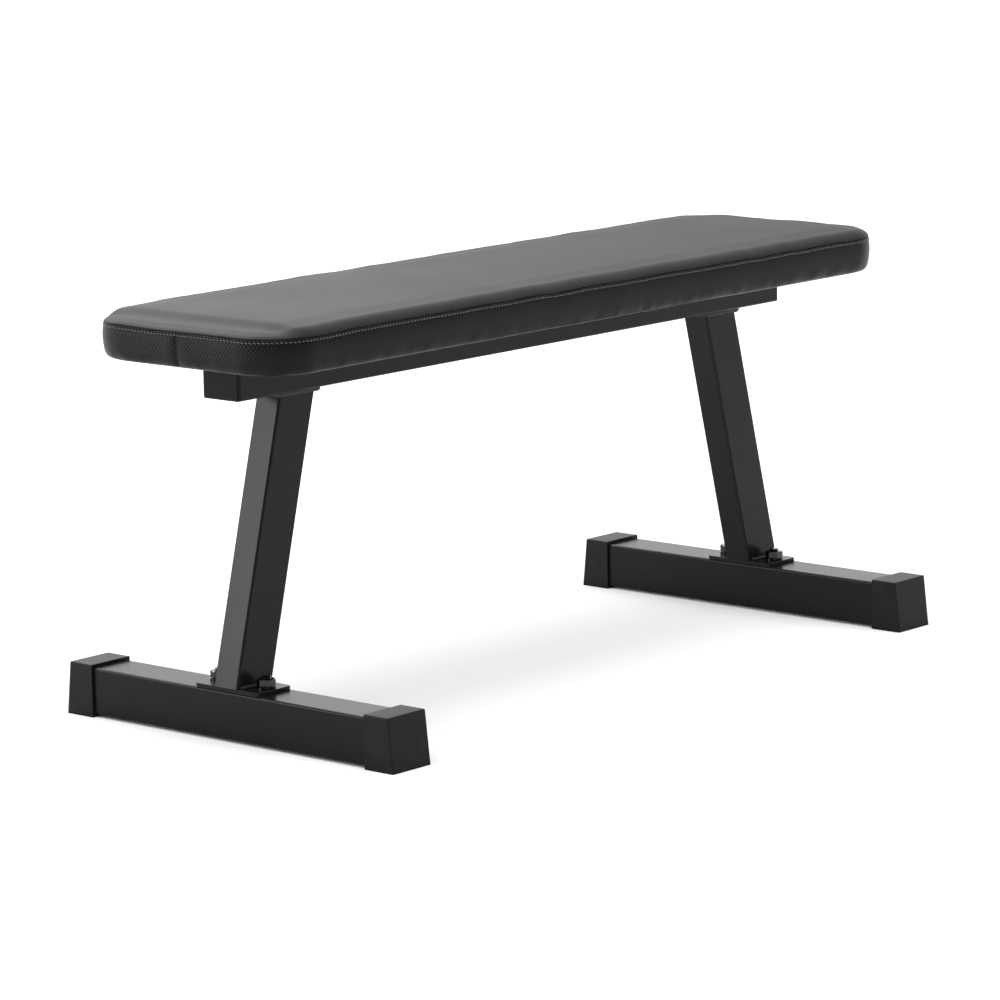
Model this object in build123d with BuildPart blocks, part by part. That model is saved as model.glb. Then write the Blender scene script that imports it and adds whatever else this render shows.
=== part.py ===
from build123d import *
from math import atan2, cos, degrees, hypot, radians, sin
import os

# Flat weight bench: an upholstered seat on one steel beam, carried by two splayed legs
# that are bolted to two cross feet. Millimetres, +Z up, +X along the seat, +Y across it.
# The origin is on the floor under the middle of the bench. "Front" is the -X end.

# Steel frame
foot_spacing = 838.0  # between the middles of the two cross feet
foot_tube_side = 50.0
foot_tube_length = 440.0
foot_tube_bottom_z = 2.5
tube_wall = 2.0
tube_corner_radius = 2.5
beam_width = 50.0
beam_height = 40.0
beam_bottom_z = 351.0
beam_overall_length = 880.0  # over both end plugs
leg_depth = 50.0  # along the bench, square to the leg
leg_width = 33.5  # across the bench
leg_top_x = 344.5  # where the leg's axis meets the beam

# Base plates and their bolts
plate_length = 90.0
plate_width = 50.0
plate_thickness = 4.0
plate_corner_radius = 5.0
plate_edge = 0.5  # chamfer round the top
foot_bolt_y = 33.0
foot_bolt_diameter = 10.0  # M10
foot_bolt_hole = 11.0
foot_bolt_head_diameter = 22.0
foot_bolt_head_height = 4.0
foot_bolt_thread_pitch = 1.5
foot_bolt_thread_depth = 0.8
foot_bolt_end_height = 3.0  # thread showing over the nut
foot_washer_diameter = 20.0
foot_washer_thickness = 2.0
foot_nut_across_flats = 17.0
foot_nut_height = 8.0
foot_nut_corner_drop = 0.8  # how far down the turned-off corners start
foot_nut_corner_cut = 1.4  # and how far in they reach
fastener_clearance = 0.1  # on the radius, between a thread and its nut

# Welds
top_weld_size = 6.0
base_weld_size = 4.5
weld_toe = 0.6  # thickness of a weld where it runs out

# Rubber sleeves on the feet
cap_wall = 3.0
cap_height = 56.0
cap_reach = 28.0  # how far it grips along the tube
cap_end_thickness = 4.0  # at the top of the closed end
cap_flare = 6.0  # how much further out the closed end is at the floor
cap_edge_radius = 1.5

# Beam end plugs
plug_flange_thickness = 4.0
plug_dome_height = 1.5
plug_dome_taper = 55.0
plug_edge_radius = 0.8
plug_insert_length = 24.0
plug_insert_wall = 2.0
plug_rib_height = 1.2
plug_rib_thickness = 1.2
plug_rib_pitch = 6.0
plug_rib_count = 3

# Seat
seat_length = 1001.0
seat_width = 275.0
seat_corner_radius = 57.0
seat_top_z = 440.0
seat_top_edge_radius = 11.5
seat_bottom_edge_radius = 8.0
vinyl_thickness = 1.2
board_thickness = 15.0
board_edge_padding = 7.0  # foam between the board's edge and the vinyl
hem_width = 32.0  # vinyl folded under the board
dust_cover_thickness = 0.8
dust_cover_inset = 10.0

# Staples that hold the hem and the dust cover
staple_crown = 10.0
staple_wire = 1.0
staple_leg = 8.0
staple_inset = 20.0
staples_per_side = 15
staples_per_end = 3
staples_per_corner = 2

# Seat bolts: their heads are inside the beam, and they go up into tee nuts on the board
seat_bolt_stations = (-270.0, -90.0, 90.0, 270.0)
seat_bolt_diameter = 8.0  # M8
seat_bolt_length = 20.0
seat_bolt_hole = 9.0
seat_bolt_across_flats = 13.0
seat_bolt_head_height = 5.3
seat_bolt_edge = 0.8  # chamfer on the head and on the tip
seat_bolt_access_hole = 20.0  # in the beam's underside, for the head, its washer and a socket
seat_washer_diameter = 16.0
seat_washer_thickness = 1.6
tee_nut_flange_diameter = 19.0
tee_nut_flange_thickness = 1.2
tee_nut_barrel_diameter = 10.0
tee_nut_barrel_length = 12.0
tee_nut_pocket = 4.0  # foam hollowed out over each tee nut

# Levels and places worked out from the sizes above
foot_x = foot_spacing / 2
foot_tube_top_z = foot_tube_bottom_z + foot_tube_side
foot_tube_middle_z = foot_tube_bottom_z + foot_tube_side / 2
plate_top_z = foot_tube_top_z + plate_thickness
beam_top_z = beam_bottom_z + beam_height
beam_middle_z = beam_bottom_z + beam_height / 2
seat_washer_top_z = beam_top_z - tube_wall
seat_bolt_head_top_z = seat_washer_top_z - seat_washer_thickness
board_bottom_z = beam_top_z + dust_cover_thickness
board_top_z = board_bottom_z + board_thickness
board_inset = vinyl_thickness + board_edge_padding  # from the outside of the cover
seat_bottom_z = board_bottom_z - vinyl_thickness
dust_cover_bottom_z = seat_bottom_z - dust_cover_thickness
seat_seam_z = seat_top_z - seat_top_edge_radius
nut_bottom_z = plate_top_z + foot_washer_thickness
nut_top_z = nut_bottom_z + foot_nut_height
leg_run = foot_x - leg_top_x
leg_rise = beam_bottom_z - plate_top_z
leg_length = hypot(leg_run, leg_rise)
leg_lean = degrees(atan2(leg_run, leg_rise))
leg_depth_level = leg_depth / cos(radians(leg_lean))  # the leg's depth in a level cut

os.makedirs("parts", exist_ok=True)
ends = {"front": -1, "rear": 1}
sides = {"right": -1, "left": 1}


def seat_form(inset):
    """The seat's outer form, or the same form moved inwards by an even thickness."""
    with BuildPart() as form:
        with BuildSketch(Plane.XY.offset(seat_bottom_z + inset)):
            RectangleRounded(seat_length - 2 * inset, seat_width - 2 * inset, seat_corner_radius - inset)
        extrude(amount=seat_top_z - seat_bottom_z - 2 * inset)
        fillet(form.edges().group_by(Axis.Z)[-1], seat_top_edge_radius - inset)
        fillet(form.edges().group_by(Axis.Z)[0], seat_bottom_edge_radius - inset)
    return form.part


def staple_locations():
    """Where each staple sits on the board's underside, turned along the edge beside it."""
    straight_x = seat_length / 2 - seat_corner_radius
    straight_y = seat_width / 2 - seat_corner_radius
    row_x = seat_length / 2 - staple_inset
    row_y = seat_width / 2 - staple_inset
    corner_radius = seat_corner_radius - staple_inset
    places = []
    for side in (-1, 1):
        for i in range(staples_per_side):
            x = straight_x * (2 * i / (staples_per_side - 1) - 1)
            places.append(Location((x, side * row_y, 0), (0, 0, 0)))
        for i in range(staples_per_end):
            y = straight_y * (2 * i / (staples_per_end - 1) - 1)
            places.append(Location((side * row_x, y, 0), (0, 0, 90)))
    for corner in range(4):
        corner_x = straight_x * (1 if corner in (0, 3) else -1)
        corner_y = straight_y * (1 if corner in (0, 1) else -1)
        for i in range(staples_per_corner):
            angle = 90 * corner + 90 * (i + 1) / (staples_per_corner + 1)
            x = corner_x + corner_radius * cos(radians(angle))
            y = corner_y + corner_radius * sin(radians(angle))
            places.append(Location((x, y, 0), (0, 0, angle + 90)))
    return places


def leg_plane(end):
    """A plane square to one leg at its middle: local X is across the bench."""
    middle = (end * (foot_x + leg_top_x) / 2, 0, (plate_top_z + beam_bottom_z) / 2)
    return Plane(origin=middle, x_dir=(0, 1, 0), z_dir=(-end * leg_run, 0, leg_rise))


def leg_x_at(end, z):
    """X of one leg's axis at a height."""
    return end * (foot_x - leg_run * (z - plate_top_z) / leg_rise)


def finish_piece(builder, name):
    """Label a finished piece and write its STEP file."""
    builder.part.label = name
    export_step(builder.part, f"parts/{name}.step")


# ---- Seat -------------------------------------------------------------------------------

seat_outer = seat_form(0)
seat_inner = seat_form(vinyl_thickness)

with BuildPart() as seat_cover_top:
    add(seat_outer)
    add(seat_inner, mode=Mode.SUBTRACT)
    split(bisect_by=Plane.XY.offset(seat_seam_z), keep=Keep.TOP)
finish_piece(seat_cover_top, "seat_cover_top")

with BuildPart() as cover_staples:
    with BuildSketch(Plane.XY.offset(dust_cover_bottom_z - staple_wire)):
        with Locations(*staple_locations()):
            Rectangle(staple_crown, staple_wire)
    extrude(amount=staple_wire)
    with BuildSketch(Plane.XY.offset(dust_cover_bottom_z)):
        with Locations(*staple_locations()):
            with GridLocations(staple_crown - staple_wire, 0, 2, 1):
                Rectangle(staple_wire, staple_wire)
    extrude(amount=staple_leg)
finish_piece(cover_staples, "cover_staples")

# The side band goes round the seat and is folded under the board as a hem.
with BuildPart() as seat_cover_band:
    add(seat_outer)
    add(seat_inner, mode=Mode.SUBTRACT)
    split(bisect_by=Plane.XY.offset(seat_seam_z), keep=Keep.BOTTOM)
    with BuildSketch(Plane.XY.offset(seat_bottom_z)):
        RectangleRounded(
            seat_length - 2 * hem_width,
            seat_width - 2 * hem_width,
            seat_corner_radius - hem_width,
        )
    extrude(amount=vinyl_thickness, mode=Mode.SUBTRACT)
    add(cover_staples.part, mode=Mode.SUBTRACT)
finish_piece(seat_cover_band, "seat_cover_band")

with BuildPart() as board_blank:
    with BuildSketch(Plane.XY.offset(board_bottom_z)):
        RectangleRounded(
            seat_length - 2 * board_inset,
            seat_width - 2 * board_inset,
            seat_corner_radius - board_inset,
        )
    extrude(amount=board_thickness)

# The foam lies on the board and wraps round its edge, so the cover's lower edge is soft.
with BuildPart() as seat_foam:
    add(seat_inner)
    add(board_blank.part, mode=Mode.SUBTRACT)
    with BuildSketch(Plane.XY.offset(board_top_z)):
        with Locations(*[(x, 0) for x in seat_bolt_stations]):
            Circle(tee_nut_flange_diameter / 2)
    extrude(amount=tee_nut_pocket, mode=Mode.SUBTRACT)
finish_piece(seat_foam, "seat_foam")

with BuildPart() as seat_board:
    add(board_blank.part)
    with BuildSketch(Plane.XY.offset(board_bottom_z)):
        with Locations(*[(x, 0) for x in seat_bolt_stations]):
            Circle(tee_nut_barrel_diameter / 2)
    extrude(amount=board_thickness, mode=Mode.SUBTRACT)
    add(cover_staples.part, mode=Mode.SUBTRACT)
finish_piece(seat_board, "seat_board")

# The dust cover lies against the board in the middle and steps down over the hem.
with BuildPart() as seat_dust_cover:
    with BuildSketch(Plane.XY.offset(dust_cover_bottom_z)):
        RectangleRounded(
            seat_length - 2 * dust_cover_inset,
            seat_width - 2 * dust_cover_inset,
            seat_corner_radius - dust_cover_inset,
        )
    extrude(amount=dust_cover_thickness)
    with BuildSketch(Plane.XY.offset(dust_cover_bottom_z)):
        RectangleRounded(
            seat_length - 2 * hem_width,
            seat_width - 2 * hem_width,
            seat_corner_radius - hem_width,
        )
    extrude(amount=board_bottom_z - dust_cover_bottom_z)
    with BuildSketch(Plane.XY.offset(dust_cover_bottom_z)):
        RectangleRounded(
            seat_length - 2 * (hem_width + dust_cover_thickness),
            seat_width - 2 * (hem_width + dust_cover_thickness),
            seat_corner_radius - hem_width - dust_cover_thickness,
        )
    extrude(amount=beam_top_z - dust_cover_bottom_z, mode=Mode.SUBTRACT)
    with BuildSketch(Plane.XY.offset(beam_top_z)):
        with Locations(*[(x, 0) for x in seat_bolt_stations]):
            Circle(seat_bolt_hole / 2)
    extrude(amount=dust_cover_thickness, mode=Mode.SUBTRACT)
    add(cover_staples.part, mode=Mode.SUBTRACT)
finish_piece(seat_dust_cover, "seat_dust_cover")

with BuildPart() as tee_nuts:
    with BuildSketch(Plane.XY.offset(board_top_z)):
        with Locations(*[(x, 0) for x in seat_bolt_stations]):
            Circle(tee_nut_flange_diameter / 2)
    extrude(amount=tee_nut_flange_thickness)
    with BuildSketch(Plane.XY.offset(board_top_z)):
        with Locations(*[(x, 0) for x in seat_bolt_stations]):
            Circle(tee_nut_barrel_diameter / 2)
    extrude(amount=-tee_nut_barrel_length)
    with BuildSketch(Plane.XY.offset(board_top_z - tee_nut_barrel_length)):
        with Locations(*[(x, 0) for x in seat_bolt_stations]):
            Circle(seat_bolt_diameter / 2 + fastener_clearance)
    extrude(amount=tee_nut_barrel_length + tee_nut_flange_thickness, mode=Mode.SUBTRACT)
finish_piece(tee_nuts, "tee_nuts")

with BuildPart() as seat_bolt_washers:
    with BuildSketch(Plane.XY.offset(seat_bolt_head_top_z)):
        with Locations(*[(x, 0) for x in seat_bolt_stations]):
            Circle(seat_washer_diameter / 2)
            Circle(seat_bolt_hole / 2, mode=Mode.SUBTRACT)
    extrude(amount=seat_washer_thickness)
finish_piece(seat_bolt_washers, "seat_bolt_washers")

with BuildPart() as seat_bolts:
    with BuildSketch(Plane.XY.offset(seat_bolt_head_top_z - seat_bolt_head_height)):
        with Locations(*[(x, 0) for x in seat_bolt_stations]):
            RegularPolygon(seat_bolt_across_flats / 2, 6, major_radius=False)
    extrude(amount=seat_bolt_head_height)
    chamfer(seat_bolts.edges().group_by(Axis.Z)[0], seat_bolt_edge)
    with BuildSketch(Plane.XY.offset(seat_bolt_head_top_z)):
        with Locations(*[(x, 0) for x in seat_bolt_stations]):
            Circle(seat_bolt_diameter / 2)
    extrude(amount=seat_bolt_length)
    chamfer(seat_bolts.edges().group_by(Axis.Z)[-1], seat_bolt_edge)
finish_piece(seat_bolts, "seat_bolts")

# ---- Beam -------------------------------------------------------------------------------

beam_tube_length = beam_overall_length - 2 * plug_flange_thickness

with BuildPart() as main_beam:
    with BuildSketch(Plane.YZ.offset(-beam_tube_length / 2)):
        with Locations((0, beam_middle_z)):
            RectangleRounded(beam_width, beam_height, tube_corner_radius)
            RectangleRounded(
                beam_width - 2 * tube_wall,
                beam_height - 2 * tube_wall,
                tube_corner_radius - tube_wall,
                mode=Mode.SUBTRACT,
            )
    extrude(amount=beam_tube_length)
    with BuildSketch(Plane.XY.offset(beam_bottom_z)):
        with Locations(*[(x, 0) for x in seat_bolt_stations]):
            Circle(seat_bolt_access_hole / 2)
    extrude(amount=tube_wall, mode=Mode.SUBTRACT)
    with BuildSketch(Plane.XY.offset(seat_washer_top_z)):
        with Locations(*[(x, 0) for x in seat_bolt_stations]):
            Circle(seat_bolt_hole / 2)
    extrude(amount=tube_wall, mode=Mode.SUBTRACT)
finish_piece(main_beam, "main_beam")

for end_name, end in ends.items():
    inner_width = beam_width - 2 * tube_wall
    inner_height = beam_height - 2 * tube_wall
    tube_end = (end * beam_tube_length / 2, 0, beam_middle_z)
    flange_plane = Plane(origin=tube_end, x_dir=(0, 1, 0), z_dir=(end, 0, 0))
    with BuildPart() as beam_end_plug:
        with BuildSketch(flange_plane):
            RectangleRounded(beam_width, beam_height, tube_corner_radius)
        extrude(amount=plug_flange_thickness - plug_dome_height)
        with BuildSketch(flange_plane.offset(plug_flange_thickness - plug_dome_height)):
            RectangleRounded(beam_width, beam_height, tube_corner_radius)
        extrude(amount=plug_dome_height, taper=plug_dome_taper)
        face_edges = beam_end_plug.edges().group_by(Axis.X)[-1 if end > 0 else 0]
        fillet(face_edges, plug_edge_radius)
        with BuildSketch(flange_plane):
            Rectangle(inner_width - 2 * plug_rib_height, inner_height - 2 * plug_rib_height)
            Rectangle(
                inner_width - 2 * plug_rib_height - 2 * plug_insert_wall,
                inner_height - 2 * plug_rib_height - 2 * plug_insert_wall,
                mode=Mode.SUBTRACT,
            )
        extrude(amount=-plug_insert_length)
        for rib in range(plug_rib_count):
            with BuildSketch(flange_plane.offset(-plug_rib_pitch * (rib + 1))):
                RectangleRounded(inner_width, inner_height, tube_corner_radius - tube_wall)
                Rectangle(
                    inner_width - 2 * plug_rib_height - 2 * plug_insert_wall,
                    inner_height - 2 * plug_rib_height - 2 * plug_insert_wall,
                    mode=Mode.SUBTRACT,
                )
            extrude(amount=plug_rib_thickness)
    finish_piece(beam_end_plug, f"beam_end_plug_{end_name}")

# ---- Legs, welds and base plates --------------------------------------------------------

for end_name, end in ends.items():
    with BuildPart() as leg_solid:
        with BuildSketch(leg_plane(end)):
            RectangleRounded(leg_width, leg_depth, tube_corner_radius)
        extrude(amount=leg_length, both=True)

    with BuildPart() as leg:
        with BuildSketch(leg_plane(end)):
            RectangleRounded(leg_width, leg_depth, tube_corner_radius)
            RectangleRounded(
                leg_width - 2 * tube_wall,
                leg_depth - 2 * tube_wall,
                tube_corner_radius - tube_wall,
                mode=Mode.SUBTRACT,
            )
        extrude(amount=leg_length, both=True)
        split(bisect_by=Plane.XY.offset(beam_bottom_z), keep=Keep.BOTTOM)
        split(bisect_by=Plane.XY.offset(plate_top_z), keep=Keep.TOP)
    finish_piece(leg, f"leg_{end_name}")

    # A fillet weld all round the top of the leg, under the beam.
    with BuildPart() as leg_top_weld:
        with BuildSketch(Plane.XY.offset(beam_bottom_z - top_weld_size)):
            with Locations((leg_x_at(end, beam_bottom_z - top_weld_size), 0)):
                RectangleRounded(
                    leg_depth_level + 2 * weld_toe,
                    leg_width + 2 * weld_toe,
                    tube_corner_radius + weld_toe,
                )
        with BuildSketch(Plane.XY.offset(beam_bottom_z)):
            with Locations((end * leg_top_x, 0)):
                RectangleRounded(
                    leg_depth_level + 2 * top_weld_size,
                    leg_width + 2 * top_weld_size,
                    tube_corner_radius + top_weld_size,
                )
        loft()
        add(leg_solid.part, mode=Mode.SUBTRACT)
    finish_piece(leg_top_weld, f"leg_top_weld_{end_name}")

    # At the base the leg is as deep as its plate, so two fillet welds run along its sides.
    with BuildPart() as leg_base_weld:
        for side in sides.values():
            face_y = side * leg_width / 2
            with BuildSketch(Plane.YZ.offset(end * foot_x)):
                with BuildLine():
                    Polyline(
                        (face_y, plate_top_z),
                        (face_y + side * base_weld_size, plate_top_z),
                        (face_y + side * base_weld_size, plate_top_z + weld_toe),
                        (face_y + side * weld_toe, plate_top_z + base_weld_size),
                        (face_y, plate_top_z + base_weld_size),
                        close=True,
                    )
                make_face()
            extrude(amount=plate_width / 2 - tube_corner_radius, both=True)
        add(leg_solid.part, mode=Mode.SUBTRACT)
    finish_piece(leg_base_weld, f"leg_base_weld_{end_name}")

    with BuildPart() as base_plate:
        with BuildSketch(Plane.XY.offset(foot_tube_top_z)):
            with Locations((end * foot_x, 0)):
                RectangleRounded(plate_width, plate_length, plate_corner_radius)
                with GridLocations(0, 2 * foot_bolt_y, 1, 2):
                    Circle(foot_bolt_hole / 2, mode=Mode.SUBTRACT)
        extrude(amount=plate_thickness)
        chamfer(base_plate.faces().sort_by(Axis.Z)[-1].outer_wire().edges(), plate_edge)
    finish_piece(base_plate, f"base_plate_{end_name}")

# ---- Feet -------------------------------------------------------------------------------

for end_name, end in ends.items():
    with BuildPart() as foot_tube:
        with BuildSketch(Plane.XZ.offset(-foot_tube_length / 2)):
            with Locations((end * foot_x, foot_tube_middle_z)):
                RectangleRounded(foot_tube_side, foot_tube_side, tube_corner_radius)
                RectangleRounded(
                    foot_tube_side - 2 * tube_wall,
                    foot_tube_side - 2 * tube_wall,
                    tube_corner_radius - tube_wall,
                    mode=Mode.SUBTRACT,
                )
        extrude(amount=foot_tube_length)
        with BuildSketch(Plane.XY.offset(foot_tube_top_z - tube_wall)):
            with Locations((end * foot_x, 0)):
                with GridLocations(0, 2 * foot_bolt_y, 1, 2):
                    Circle(foot_bolt_hole / 2)
        extrude(amount=tube_wall, mode=Mode.SUBTRACT)
    finish_piece(foot_tube, f"foot_tube_{end_name}")

    # A sleeve with a closed end that leans outwards to a wider foot on the floor.
    for side_name, side in sides.items():
        tube_end_y = side * foot_tube_length / 2
        open_y = tube_end_y - side * cap_reach
        top_y = tube_end_y + side * cap_end_thickness
        with BuildPart() as foot_cap:
            with BuildSketch(Plane.YZ.offset(end * foot_x)):
                with BuildLine():
                    Polyline(
                        (open_y, 0),
                        (top_y + side * cap_flare, 0),
                        (top_y, cap_height),
                        (open_y, cap_height),
                        close=True,
                    )
                make_face()
            extrude(amount=foot_tube_side / 2 + cap_wall, both=True)
            open_face = foot_cap.faces().sort_by(Axis.Y)[0 if side > 0 else -1]
            floor_face = foot_cap.faces().sort_by(Axis.Z)[0]
            kept_sharp = open_face.edges() + floor_face.edges()
            fillet(foot_cap.edges() - kept_sharp, cap_edge_radius)
            with BuildSketch(Plane.XZ.offset(-tube_end_y)):
                with Locations((end * foot_x, foot_tube_middle_z)):
                    RectangleRounded(foot_tube_side, foot_tube_side, tube_corner_radius)
            extrude(amount=side * cap_reach, mode=Mode.SUBTRACT)
        finish_piece(foot_cap, f"foot_cap_{end_name}_{side_name}")

    # Round-headed bolts stand up through the foot, with their heads inside the tube.
    with BuildPart() as foot_bolts:
        bolt_radius = foot_bolt_diameter / 2
        root_radius = bolt_radius - foot_bolt_thread_depth
        head_top_z = foot_tube_top_z - tube_wall
        bolt_top_z = nut_top_z + foot_bolt_end_height
        for side in sides.values():
            bolt_foot = (end * foot_x, side * foot_bolt_y, 0)
            axis_plane = Plane(origin=bolt_foot, x_dir=(1, 0, 0), z_dir=(0, -1, 0))
            thread_turns = int((bolt_top_z - nut_bottom_z) / foot_bolt_thread_pitch)
            with BuildSketch(axis_plane):
                with BuildLine():
                    outline = [
                        (0, head_top_z - foot_bolt_head_height),
                        (foot_bolt_head_diameter / 4, head_top_z - foot_bolt_head_height),
                        (foot_bolt_head_diameter / 2, head_top_z - foot_bolt_head_height / 4),
                        (foot_bolt_head_diameter / 2, head_top_z),
                        (bolt_radius, head_top_z),
                        (bolt_radius, nut_bottom_z),
                    ]
                    for turn in range(thread_turns):
                        turn_z = nut_bottom_z + turn * foot_bolt_thread_pitch
                        outline.append((root_radius, turn_z + foot_bolt_thread_pitch / 2))
                        outline.append((bolt_radius, turn_z + foot_bolt_thread_pitch))
                    outline.append((root_radius, bolt_top_z))
                    outline.append((0, bolt_top_z))
                    Polyline(*outline, close=True)
                make_face()
            revolve(axis=Axis(bolt_foot, (0, 0, 1)))
    finish_piece(foot_bolts, f"foot_bolts_{end_name}")

    with BuildPart() as foot_washers:
        with BuildSketch(Plane.XY.offset(plate_top_z)):
            with Locations((end * foot_x, foot_bolt_y), (end * foot_x, -foot_bolt_y)):
                Circle(foot_washer_diameter / 2)
                Circle(foot_bolt_hole / 2, mode=Mode.SUBTRACT)
        extrude(amount=foot_washer_thickness)
    finish_piece(foot_washers, f"foot_washers_{end_name}")

    # Hexagon nuts, with the corners of the hexagon turned off at 30 degrees top and bottom.
    with BuildPart() as foot_nuts:
        corner_radius = foot_nut_across_flats / 2 / cos(radians(30))
        for side in sides.values():
            with BuildSketch(Plane.XY.offset(nut_bottom_z)):
                with Locations((end * foot_x, side * foot_bolt_y)):
                    Circle(corner_radius)
            extrude(amount=foot_nut_height)
            rims = foot_nuts.edges().filter_by(GeomType.CIRCLE).group_by(Axis.Y)
            chamfer(rims[0 if side < 0 else -1], foot_nut_corner_drop, foot_nut_corner_cut)
        with BuildSketch(Plane.XY.offset(nut_bottom_z)):
            with Locations((end * foot_x, foot_bolt_y), (end * foot_x, -foot_bolt_y)):
                RegularPolygon(foot_nut_across_flats / 2, 6, major_radius=False)
                Circle(foot_bolt_diameter / 2 + fastener_clearance, mode=Mode.SUBTRACT)
        extrude(amount=foot_nut_height, mode=Mode.INTERSECT)
    finish_piece(foot_nuts, f"foot_nuts_{end_name}")
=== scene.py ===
import bpy
import bmesh
from math import atan2, ceil, cos, hypot, pi, radians, sin, sqrt
from mathutils import Matrix, Vector, noise


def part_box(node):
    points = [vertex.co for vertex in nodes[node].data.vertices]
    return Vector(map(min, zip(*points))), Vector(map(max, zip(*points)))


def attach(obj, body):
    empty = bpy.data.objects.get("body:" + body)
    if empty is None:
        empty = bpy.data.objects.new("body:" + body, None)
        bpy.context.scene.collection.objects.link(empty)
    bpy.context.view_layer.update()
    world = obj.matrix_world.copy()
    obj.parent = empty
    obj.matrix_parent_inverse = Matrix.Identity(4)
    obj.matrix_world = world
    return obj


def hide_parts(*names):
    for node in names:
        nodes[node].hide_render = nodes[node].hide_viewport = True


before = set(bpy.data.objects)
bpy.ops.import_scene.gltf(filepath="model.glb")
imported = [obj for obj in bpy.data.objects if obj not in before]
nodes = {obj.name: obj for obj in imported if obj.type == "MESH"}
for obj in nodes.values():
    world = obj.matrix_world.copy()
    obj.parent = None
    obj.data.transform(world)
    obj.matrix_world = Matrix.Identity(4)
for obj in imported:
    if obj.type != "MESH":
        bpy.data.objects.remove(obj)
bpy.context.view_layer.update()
mm = 0.001  # the scene is in metres, and sizes below are in millimetres times mm


def hexToLinear(code):
    # sRGB hex to the linear colour the shaders work in
    channels = [int(code[i:i + 2], 16) / 255 for i in (1, 3, 5)]
    return tuple(c / 12.92 if c <= 0.04045 else ((c + 0.055) / 1.055) ** 2.4 for c in channels) + (1.0,)


def perMm(size):
    # texture scale that gives features of this many millimetres on Object coordinates
    return 1000 / size


def addNode(tree, kind, settings={}, values={}, links={}):
    node = tree.nodes.new(kind)
    for name, value in settings.items():
        setattr(node, name, value)
    for name, value in values.items():
        node.inputs[name].default_value = value
    for name, source in links.items():
        tree.links.new(source, node.inputs[name])
    return node


def newMaterial(name):
    material = bpy.data.materials.new(name)
    material.use_nodes = True
    material.node_tree.nodes.clear()
    return material, material.node_tree


def closeMaterial(tree, shader):
    addNode(tree, "ShaderNodeOutputMaterial", links={"Surface": shader.outputs[0]})


def objectFromBmesh(bm, name, materials):
    bmesh.ops.recalc_face_normals(bm, faces=bm.faces)
    mesh = bpy.data.meshes.new(name)
    bm.to_mesh(mesh)
    bm.free()
    for material in materials:
        mesh.materials.append(material)
    mesh.shade_smooth()
    piece = bpy.data.objects.new(name, mesh)
    bpy.context.scene.collection.objects.link(piece)
    return piece


def addModifier(piece, kind, **settings):
    modifier = piece.modifiers.new(kind.lower(), kind)
    for name, value in settings.items():
        setattr(modifier, name, value)


cameraView = {"place": (-3.792, -3.301, 1.098), "yaw": 48.83, "down": 10.3, "roll": -1.01, "lens": 170.8}


def makeCamera():
    yaw, down, roll = (radians(cameraView[key]) for key in ("yaw", "down", "roll"))
    forward = Vector((sin(yaw) * cos(down), cos(yaw) * cos(down), -sin(down)))
    level = Vector((cos(yaw), -sin(yaw), 0))
    above = level.cross(forward)
    right = level * cos(roll) + above * sin(roll)
    up = above * cos(roll) - level * sin(roll)
    data = bpy.data.cameras.new("studioCamera")
    data.sensor_width = 36
    data.lens = cameraView["lens"]
    data.clip_end = 200
    camera = bpy.data.objects.new("studioCamera", data)
    turn = Matrix((right, up, -forward)).transposed().to_4x4()
    camera.matrix_world = Matrix.Translation(cameraView["place"]) @ turn
    bpy.context.scene.collection.objects.link(camera)
    bpy.context.scene.camera = camera


studio = {
    "floorSize": 60.0,
    "floorColour": "#ececec",
    "worldBehind": "#f4f4f4",
    "worldFront": "#868688",
    "worldOverhead": "#f8f8f8",
    "worldStrength": 1.8,
    # where the bright wall starts and is full, as the cosine from straight behind, and the same for the ceiling
    "behindShare": (-0.2, 0.8),
    "overheadShare": (0.25, 0.85),
    "sunStrength": 1.2,
    "sunSpread": 34,  # degrees across, so shadows have soft edges
    "behindDirection": (0.74, 0.66, 0.0),  # level, away from the camera
}


def makeFloor():
    bm = bmesh.new()
    bmesh.ops.create_grid(bm, x_segments=1, y_segments=1, size=studio["floorSize"] / 2)
    material, tree = newMaterial("paleStudioFloor")  # matt painted board, even and almost white
    shader = addNode(
        tree, "ShaderNodeBsdfDiffuse", values={"Color": hexToLinear(studio["floorColour"]), "Roughness": 1.0}
    )
    closeMaterial(tree, shader)
    floor = objectFromBmesh(bm, "studioFloor", [material])


softboxes = {
    "leftSoftbox": {
        "place": (-2.7, 2.1, 0.85), "target": (-0.4, 0.0, 0.2), "width": 1.0, "height": 1.1, "watts": 37,
    },
    "backStrip": {
        "place": (0.5, 1.9, 2.0), "target": (0.0, 0.0, 0.2), "width": 2.4, "height": 0.3, "watts": 34,
    },
}


def makeLights():
    sun = bpy.data.lights.new("overheadLight", "SUN")
    sun.energy = studio["sunStrength"]
    sun.angle = radians(studio["sunSpread"])
    bpy.context.scene.collection.objects.link(bpy.data.objects.new("overheadLight", sun))
    for name, box in softboxes.items():
        data = bpy.data.lights.new(name, "AREA")
        data.shape = "RECTANGLE"
        data.size = box["width"]
        data.size_y = box["height"]
        data.energy = box["watts"]
        lamp = bpy.data.objects.new(name, data)
        lamp.location = box["place"]
        aim = Vector(box["target"]) - Vector(box["place"])
        lamp.rotation_euler = aim.to_track_quat("-Z", "Y").to_euler()
        bpy.context.scene.collection.objects.link(lamp)


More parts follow.
